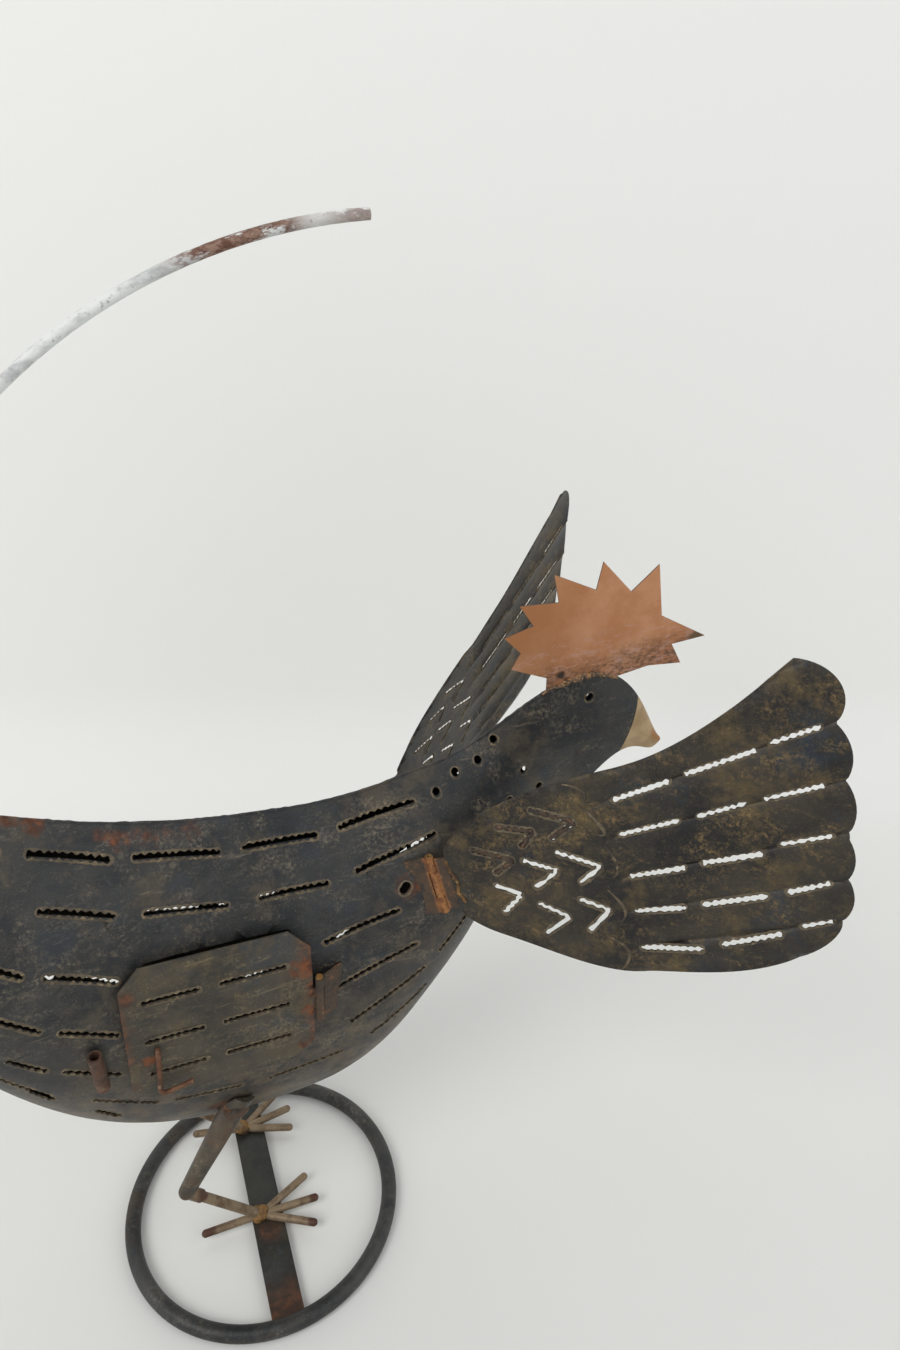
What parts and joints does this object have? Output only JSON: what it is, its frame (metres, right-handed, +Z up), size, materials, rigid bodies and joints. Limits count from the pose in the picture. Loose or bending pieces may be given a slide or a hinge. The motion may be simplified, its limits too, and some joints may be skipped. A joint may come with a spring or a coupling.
{
  "type": "weather vane",
  "caption": "Hollow torch-cut sheet-steel rooster with hinged wings, a hinged side door, a jagged copper comb and an arching tail rod, standing on a ring foot.",
  "frame": {"origin": "centre of the ring foot, on the ground", "axes": "+X towards the beak, +Y to the rooster's left, +Z up"},
  "size_m": [0.6755, 0.431, 0.7682],
  "materials": {
    "black_iron": "blackened hot-rolled bar with some rust",
    "flank_steel": "torch-cut blackened steel sheet with blue, brown and tan heat patina",
    "brazed_brass": "brass-brazed tip with heat stains",
    "copper_sheet": "heat-tinted copper sheet",
    "braze": "lumpy brass braze",
    "leg_steel": "grey-brown forged steel",
    "bronzed_rod": "rod flowed over with bronze",
    "rusty_weld": "rusty weld bead",
    "worn_paint": "worn pale paint with rust streaks",
    "rusty_tube": "rusty steel tube",
    "door_steel": "olive-brown heat-tinted steel sheet",
    "hinge_steel": "rusty hinge steel with brass-coloured braze",
    "handle_wire": "bent steel wire",
    "pin_steel": "plain steel pin",
    "wing_steel": "hammered steel sheet with brown and blue patina"
  },
  "bodies": {
    "stand_and_body": {"base_ring": "black_iron", "base_bar": "black_iron", "right_flank": "flank_steel", "left_flank": "flank_steel", "beak": "brazed_brass", "comb": "copper_sheet", "comb_braze": "braze", "right_thigh": "leg_steel", "left_thigh": "leg_steel", "right_shin": "bronzed_rod", "left_shin": "bronzed_rod", "right_front_toes": "bronzed_rod", "left_front_toes": "bronzed_rod", "right_back_toe": "bronzed_rod", "left_back_toe": "bronzed_rod", "right_foot_braze": "braze", "left_foot_braze": "braze", "right_hip_weld": "rusty_weld", "left_hip_weld": "rusty_weld", "tail_rod": "worn_paint", "tail_braze": "braze", "keeper_tube": "rusty_tube", "door_body_leaf": "hinge_steel", "door_hinge_pin": "pin_steel", "right_shoulder_leaf": "hinge_steel", "left_shoulder_leaf": "hinge_steel", "right_wing_pin": "pin_steel", "left_wing_pin": "pin_steel"},
    "door": {"door": "door_steel", "door_leaf": "hinge_steel", "door_handle": "handle_wire"},
    "right_wing": {"right_wing": "wing_steel", "right_wing_leaf": "hinge_steel"},
    "left_wing": {"left_wing": "wing_steel", "left_wing_leaf": "hinge_steel"}
  },
  "joints": [
    {"name": "door_hinge", "type": "hinge", "parent": "stand_and_body", "child": "door", "pos_m": [0.0585, -0.04, 0.2727], "axis": [0.0523, 0.0018, 0.9986], "range_deg": [-1, 105]},
    {"name": "right_wing_hinge", "type": "hinge", "parent": "stand_and_body", "child": "right_wing", "pos_m": [0.1516, -0.0278, 0.3368], "axis": [0.1712, -0.3401, -0.9247], "range_deg": [-20, 55]},
    {"name": "left_wing_hinge", "type": "hinge", "parent": "stand_and_body", "child": "left_wing", "pos_m": [0.1516, 0.0798, 0.3368], "axis": [-0.1712, -0.3401, 0.9247], "range_deg": [-20, 55]}
  ]
}
